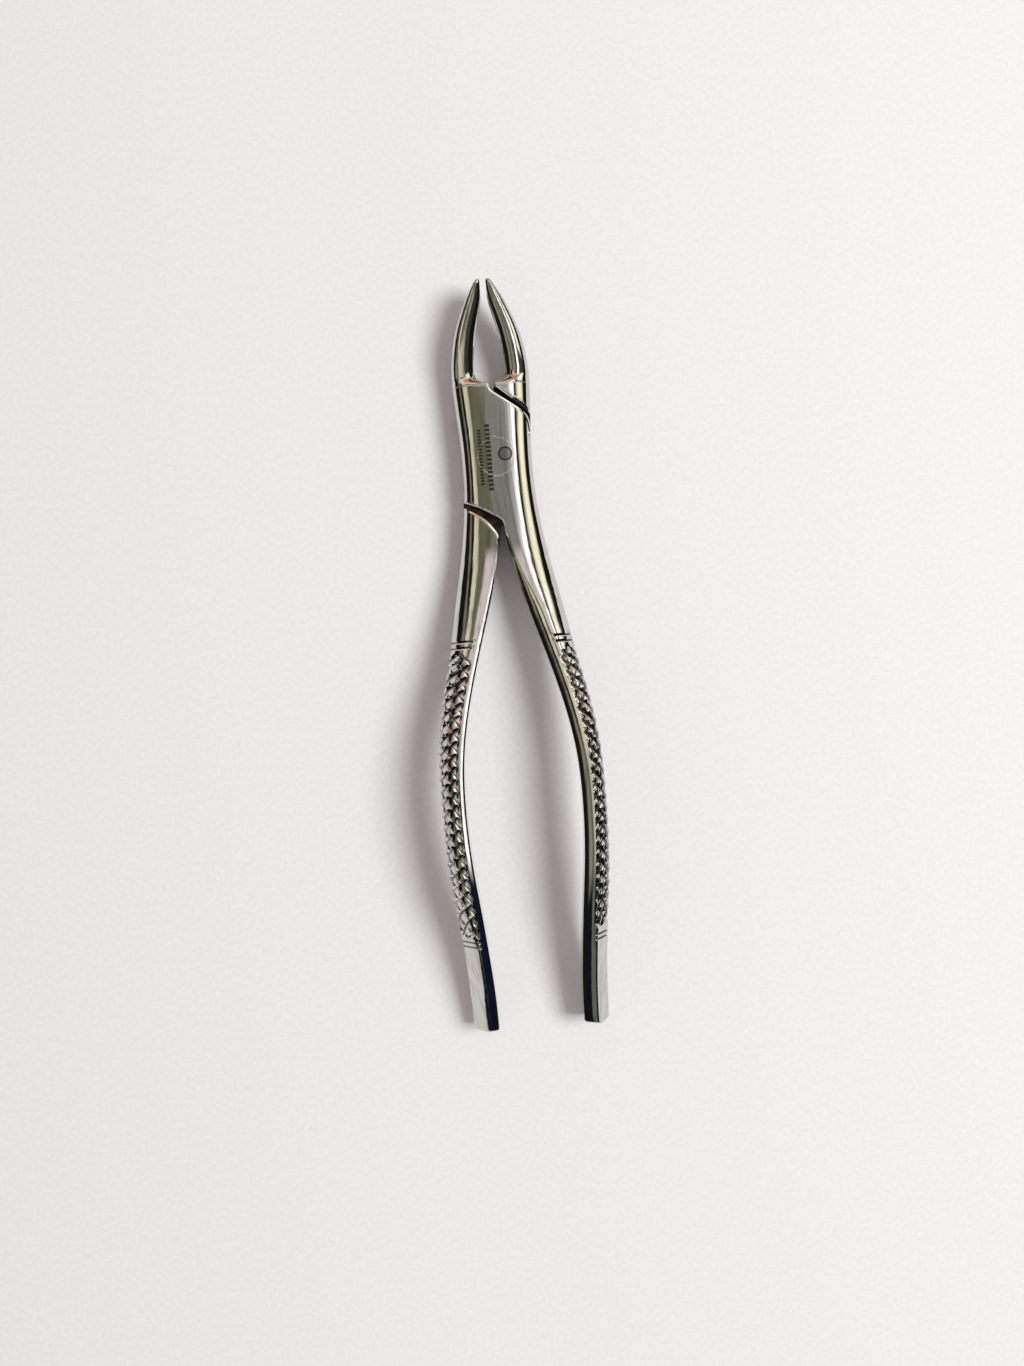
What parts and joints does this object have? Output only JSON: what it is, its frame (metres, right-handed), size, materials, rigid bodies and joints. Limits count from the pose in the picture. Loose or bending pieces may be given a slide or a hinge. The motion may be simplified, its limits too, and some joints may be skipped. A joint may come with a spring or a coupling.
{
  "type": "dental extraction forceps",
  "caption": "Dental extraction forceps: hollow curved beaks and arched knurled handles crossing in a riveted lap joint.",
  "frame": {"origin": "where the pivot axis meets the flat back of the joint, which the forceps rests on", "axes": "+Y from the joint towards the beaks, +X to the right seen from the front, +Z out of the front of the joint along the pivot axis"},
  "size_m": [0.0386, 0.1782, 0.019],
  "materials": {
    "polished_steel": "mirror polished stainless steel",
    "rivet_steel": "ground flush and polished stainless steel"
  },
  "bodies": {
    "rear": {"rear_half": "polished_steel", "pivot_rivet": "rivet_steel"},
    "front": {"front_half": "polished_steel"}
  },
  "joints": [
    {"name": "pivot", "type": "hinge", "parent": "rear", "child": "front", "pos_m": [0, 0, 0], "axis": [0, 0, 1], "range_deg": [-1.9, 35]}
  ]
}
